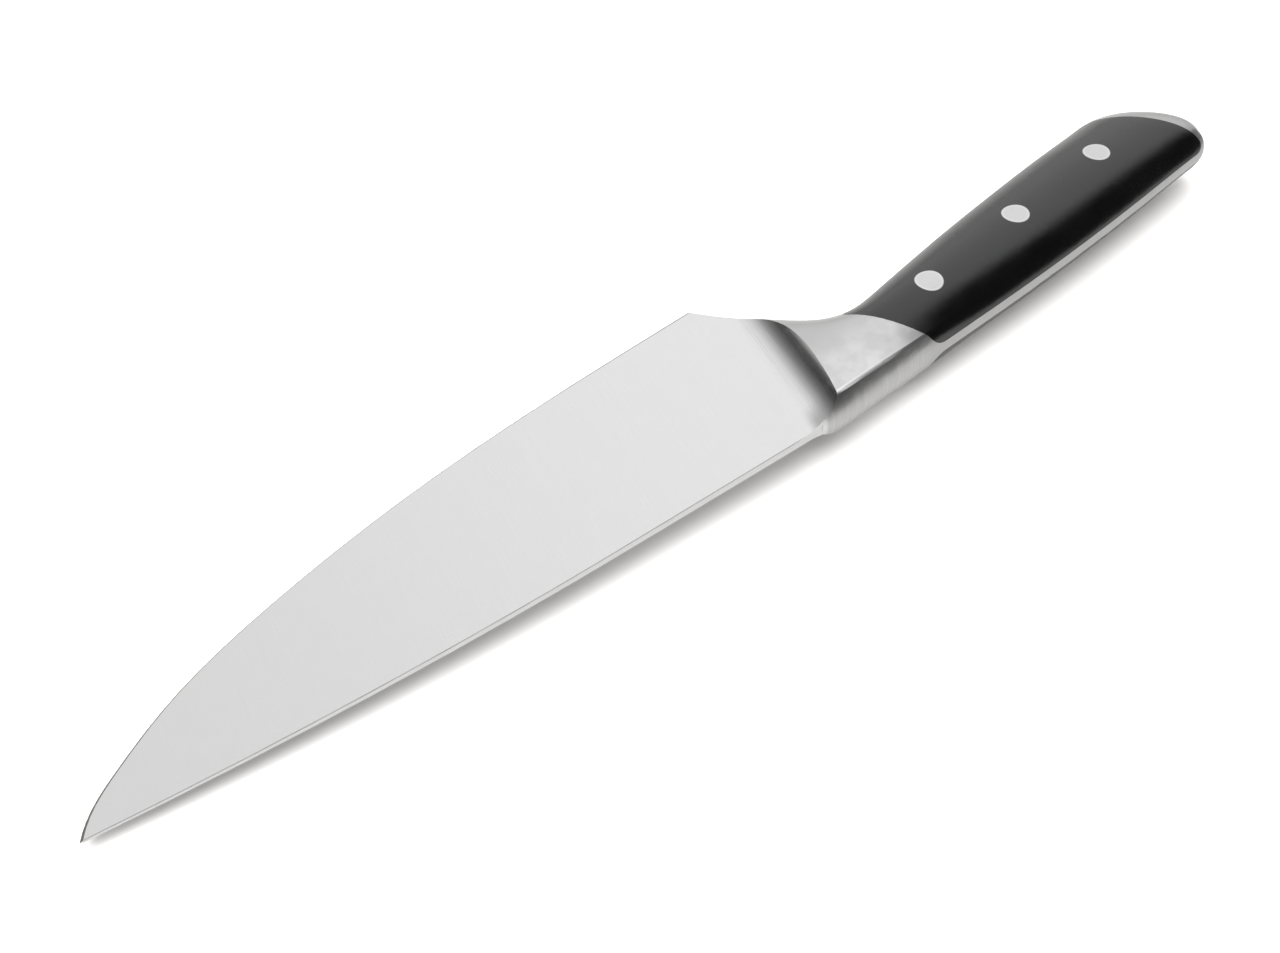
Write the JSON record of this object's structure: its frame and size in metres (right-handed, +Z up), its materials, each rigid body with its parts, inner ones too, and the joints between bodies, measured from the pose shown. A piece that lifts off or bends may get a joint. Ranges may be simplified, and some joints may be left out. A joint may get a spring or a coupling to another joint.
{
  "type": "chef knife",
  "caption": "Forged chef's knife lying on its side: tapered triangular blade, sloped bolster, full tang with riveted black plastic scales and a steel butt cap.",
  "frame": {"origin": "bottom centre of the bounding box, with the knife lying on its left side as it rests on a table", "axes": "+X from the blade's tip towards the butt cap, +Y from the spine towards the cutting edge, +Z up from the table through the knife's right side"},
  "size_m": [0.2894, 0.0446, 0.0175],
  "materials": {
    "blade_steel": "fine satin grind along the blade's length, brighter ridge lines",
    "scale_plastic": "satin moulded plastic, lightly polished",
    "rivet_steel": "ground flush with the scales, satin"
  },
  "bodies": {
    "root": {"blade_forging": "blade_steel", "scale_right": "scale_plastic", "scale_left": "scale_plastic", "rivet_front_male": "rivet_steel", "rivet_front_female": "rivet_steel", "rivet_middle_male": "rivet_steel", "rivet_middle_female": "rivet_steel", "rivet_rear_male": "rivet_steel", "rivet_rear_female": "rivet_steel"}
  },
  "joints": []
}
